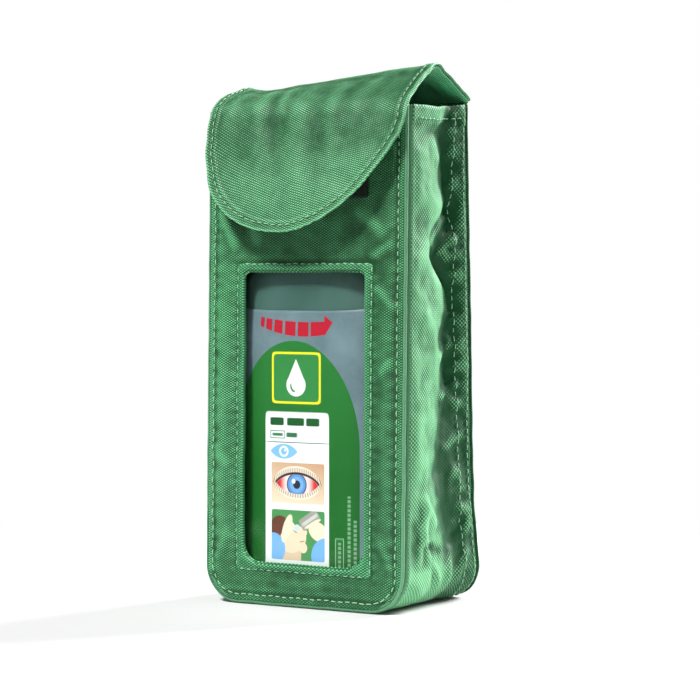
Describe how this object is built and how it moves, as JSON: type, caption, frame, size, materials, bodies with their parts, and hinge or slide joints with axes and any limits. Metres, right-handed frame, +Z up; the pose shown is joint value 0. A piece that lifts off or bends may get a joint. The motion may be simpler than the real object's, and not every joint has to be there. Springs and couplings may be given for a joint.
{
  "type": "pocket eyewash station",
  "caption": "Oval squeeze bottle of eyewash saline with an eye cup and twist-off dust cap, carried in a woven belt pouch with a clear window and a rounded flap.",
  "frame": {"origin": "centre of the pouch's foot, on the surface that it stands on", "axes": "+Z up along the pouch, -Y out of the window, +Y towards the wearer's belt, +X to the right seen from the front"},
  "size_m": [0.0886, 0.0711, 0.2032],
  "materials": {
    "nylon_green": "woven nylon, coated",
    "nylon_dark": "woven nylon lining and webbing",
    "piping_green": "folded nylon tape",
    "clear_film": "clear flexible film",
    "hook_and_loop": "hook-and-loop tape",
    "bottle_plastic": "translucent moulded plastic",
    "saline": "clear liquid",
    "label_film": "printed film",
    "cap_plastic": "moulded plastic, fine ribs",
    "cup_plastic": "smooth moulded plastic",
    "seal_rubber": "matt rubber"
  },
  "bodies": {
    "pouch": {"front_panel": "nylon_green", "back_panel": "nylon_green", "gusset": "nylon_green", "front_piping": "piping_green", "back_piping": "piping_green", "window_edge_binding": "piping_green", "window_pane": "clear_film", "loop_patch": "hook_and_loop", "belt_loop": "nylon_dark"},
    "flap_crown": {"flap_crown_cover": "nylon_green", "flap_crown_lining": "nylon_dark"},
    "flap_lip": {"flap_lip_cover": "nylon_green", "flap_lip_lining": "nylon_dark", "hook_patch": "hook_and_loop"},
    "bottle": {"bottle_shell": "bottle_plastic", "saline_fill": "saline", "label_front": "label_film", "label_back": "label_film", "neck_washer": "seal_rubber", "spray_nozzle": "cup_plastic", "eye_cup": "cup_plastic", "tamper_ring": "cap_plastic"},
    "cap_liner": {"cap_liner": "seal_rubber"},
    "dust_cap": {"dust_cap": "cap_plastic"}
  },
  "joints": [
    {"name": "flap_open", "type": "hinge", "parent": "pouch", "child": "flap_crown", "pos_m": [0, 0.0214, 0.1924], "axis": [-1, 0, 0], "range_deg": [0, 200]},
    {"name": "flap_unfold", "type": "hinge", "parent": "flap_crown", "child": "flap_lip", "pos_m": [0, -0.02633, 0.18857], "axis": [-1, 0, 0], "range_deg": [0, 80]},
    {"name": "bottle_lift", "type": "slide", "parent": "pouch", "child": "bottle", "axis": [0, 0.0184, 0.9998], "range_m": [0, 0.1]},
    {"name": "cap_lift", "type": "slide", "parent": "bottle", "child": "cap_liner", "axis": [0, 0, 1], "range_m": [0, 0.0045]},
    {"name": "cap_twist", "type": "hinge", "parent": "cap_liner", "child": "dust_cap", "pos_m": [-0.0038, -0.0042, 0.16], "axis": [0, 0, 1], "range_deg": [0, 270]}
  ],
  "couplings": [
    {"joint": "flap_unfold", "follows": "flap_open", "ratio": 0.4},
    {"joint": "bottle_lift", "follows": "flap_open", "m_per_rad": 0.0286},
    {"joint": "cap_lift", "follows": "cap_twist", "m_per_rad": 0.00095}
  ]
}
